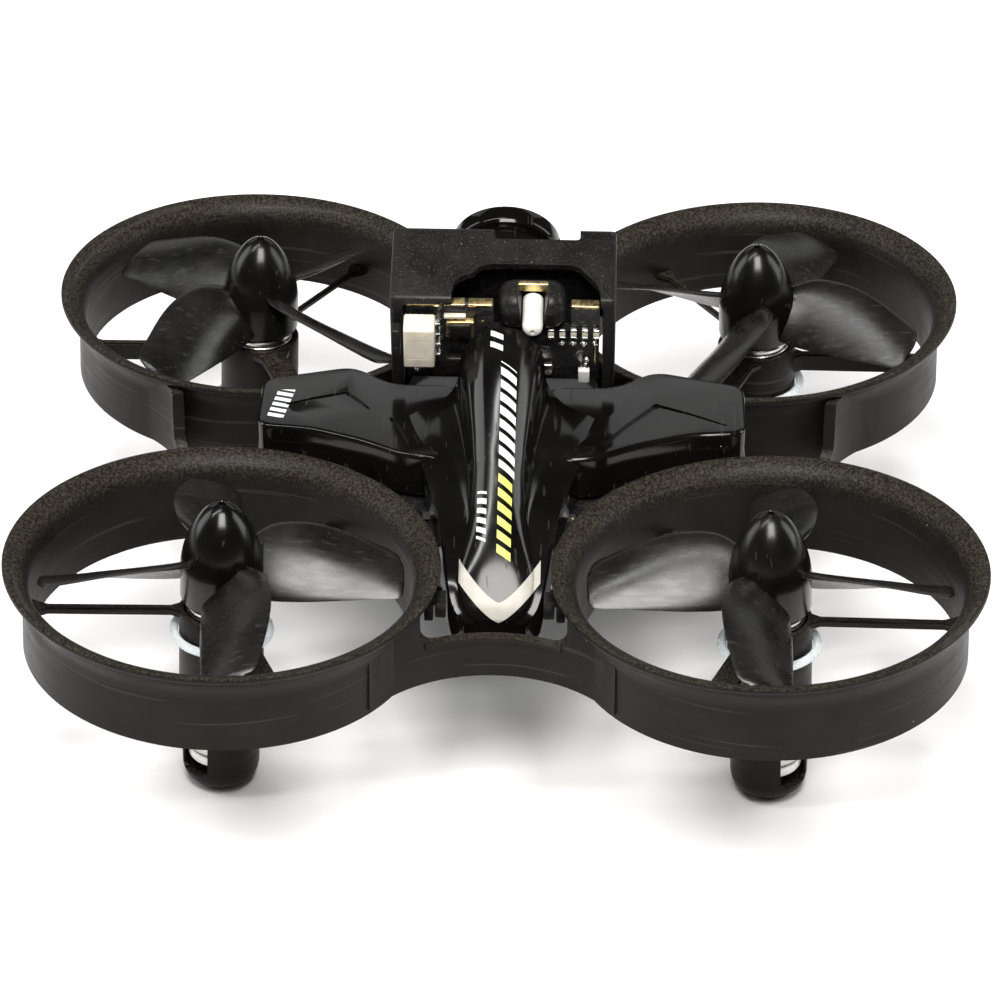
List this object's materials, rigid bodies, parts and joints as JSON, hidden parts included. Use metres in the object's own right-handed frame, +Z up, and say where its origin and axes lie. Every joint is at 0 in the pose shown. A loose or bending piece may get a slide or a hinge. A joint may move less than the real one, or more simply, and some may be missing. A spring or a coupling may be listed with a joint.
{
  "type": "mini palm drone",
  "caption": "Palm-size ducted quadcopter with gloss canopy, tilted camera module, spinning propellers, sprung channel button and slide-out battery.",
  "frame": {"origin": "on the ground, in the middle of the four motors", "axes": "+Z up, +Y towards the front, where the lens looks, +X to the drone's right"},
  "size_m": [0.0828, 0.0828, 0.0383],
  "materials": {
    "frame_black": "fine sandy moulded texture",
    "gloss_black": "polished",
    "satin_black": "satin",
    "steel": "drawn and plated",
    "silicone": "translucent",
    "white": "smooth",
    "cream": "moulded",
    "glass": "coated lens",
    "board": "black solder mask",
    "rubber": "matt",
    "foil": "foil pouch in clear film"
  },
  "bodies": {
    "frame": {"antenna_shroud": "satin_black", "antenna_tube": "white", "battery_socket": "white", "board_grommet_front_left": "rubber", "board_grommet_front_right": "rubber", "board_grommet_rear_left": "rubber", "board_grommet_rear_right": "rubber", "board_screw_front_left": "steel", "board_screw_front_right": "steel", "board_screw_rear_left": "steel", "board_screw_rear_right": "steel", "camera_board": "board", "camera_housing": "satin_black", "canopy": "gloss_black", "centre_frame": "frame_black", "channel_switch": "cream", "damper_ring_front_left": "silicone", "damper_ring_front_right": "silicone", "damper_ring_rear_left": "silicone", "damper_ring_rear_right": "silicone", "duct_front_left": "frame_black", "duct_front_right": "frame_black", "duct_rear_left": "frame_black", "duct_rear_right": "frame_black", "flight_controller": "board", "front_web": "frame_black", "left_web": "frame_black", "lens_barrel": "satin_black", "lens_glass": "glass", "main_chip": "satin_black", "motor_can_front_left": "steel", "motor_can_front_right": "steel", "motor_can_rear_left": "steel", "motor_can_rear_right": "steel", "motor_end_cap_front_left": "white", "motor_end_cap_front_right": "white", "motor_end_cap_rear_left": "white", "motor_end_cap_rear_right": "white", "motor_socket_front_left": "cream", "motor_socket_front_right": "cream", "motor_socket_rear_left": "cream", "motor_socket_rear_right": "cream", "rear_web": "frame_black", "right_web": "frame_black", "status_led": "white", "vtx_board": "board"},
    "propeller_rear_left": {"propeller_rear_left": "gloss_black", "motor_shaft_rear_left": "steel"},
    "propeller_rear_right": {"propeller_rear_right": "gloss_black", "motor_shaft_rear_right": "steel"},
    "propeller_front_left": {"propeller_front_left": "gloss_black", "motor_shaft_front_left": "steel"},
    "propeller_front_right": {"propeller_front_right": "gloss_black", "motor_shaft_front_right": "steel"},
    "channel_button": {"channel_button": "satin_black"},
    "battery": {"battery": "foil"}
  },
  "joints": [
    {"name": "rear_left_propeller_spin", "type": "hinge", "parent": "frame", "child": "propeller_rear_left", "pos_m": [-0.023, -0.023, 0.02226], "axis": [0.03, 0.01, 0.9995], "continuous": true},
    {"name": "rear_right_propeller_spin", "type": "hinge", "parent": "frame", "child": "propeller_rear_right", "pos_m": [0.023, -0.023, 0.02226], "axis": [-0.03, 0.01, 0.9995], "continuous": true},
    {"name": "front_left_propeller_spin", "type": "hinge", "parent": "frame", "child": "propeller_front_left", "pos_m": [-0.023, 0.023, 0.02226], "axis": [0.03, -0.01, 0.9995], "continuous": true},
    {"name": "front_right_propeller_spin", "type": "hinge", "parent": "frame", "child": "propeller_front_right", "pos_m": [0.023, 0.023, 0.02226], "axis": [-0.03, -0.01, 0.9995], "continuous": true},
    {"name": "channel_button_press", "type": "slide", "parent": "frame", "child": "channel_button", "axis": [1, 0, 0], "range_m": [0, 0.00025], "stiffness_N_per_m": 200},
    {"name": "battery_slide", "type": "slide", "parent": "frame", "child": "battery", "axis": [0, -1, 0], "range_m": [0, 0.03]}
  ]
}
